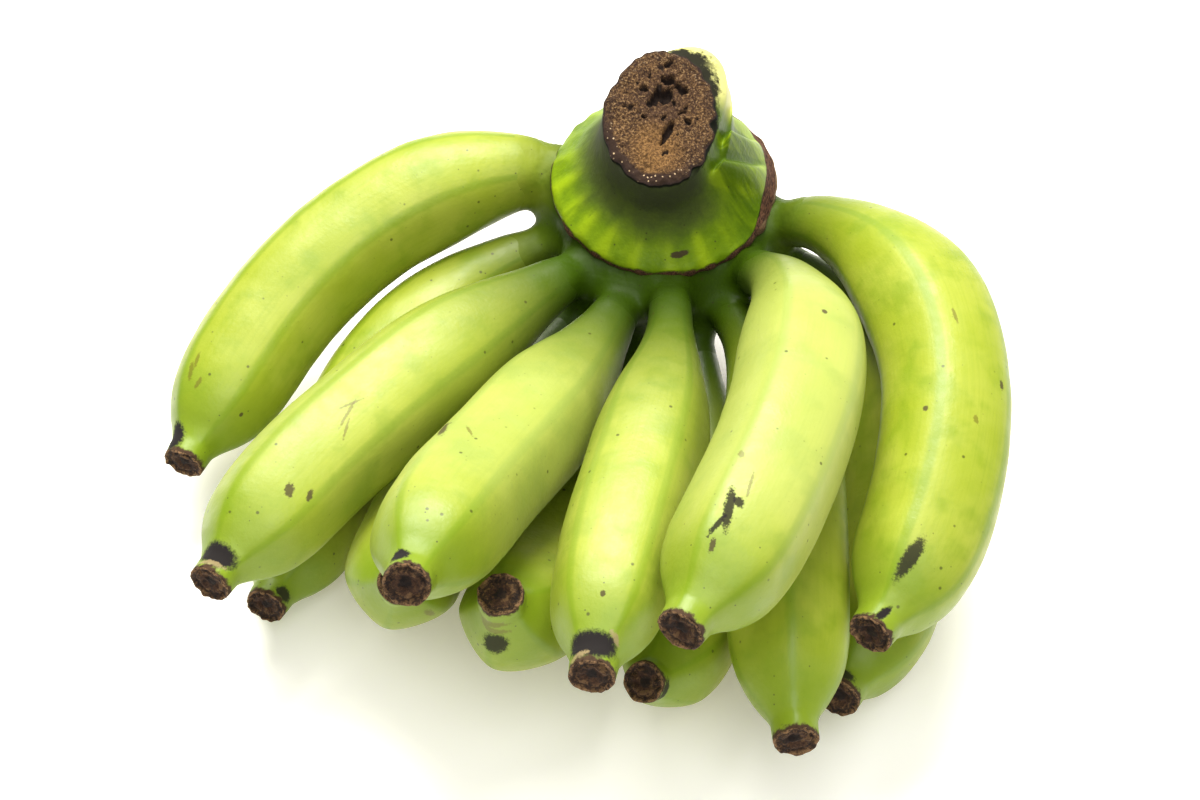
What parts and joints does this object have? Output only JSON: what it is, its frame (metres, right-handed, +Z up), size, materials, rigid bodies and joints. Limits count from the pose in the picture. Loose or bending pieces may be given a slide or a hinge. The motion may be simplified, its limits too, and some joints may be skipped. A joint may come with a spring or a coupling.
{
  "type": "bunch of bananas",
  "caption": "Hand of unripe green bananas: two rows of curved, five-sided fingers fanning out from one crown with a wide collar and a short cut stem.",
  "frame": {"origin": "on the table, under the middle of the hand's outline", "axes": "+Z up along the stem, -Y to the front, where the fingers point, +X to the right"},
  "size_m": [0.251, 0.2236, 0.1145],
  "materials": {
    "crown": "satin",
    "peel": "satin"
  },
  "bodies": {
    "root": {"crown_stem": "crown", "upper_banana_1": "peel", "upper_banana_2": "peel", "upper_banana_3": "peel", "upper_banana_4": "peel", "upper_banana_5": "peel", "upper_banana_6": "peel", "lower_banana_1": "peel", "lower_banana_2": "peel", "lower_banana_3": "peel", "lower_banana_4": "peel", "lower_banana_5": "peel", "lower_banana_6": "peel"}
  },
  "joints": []
}
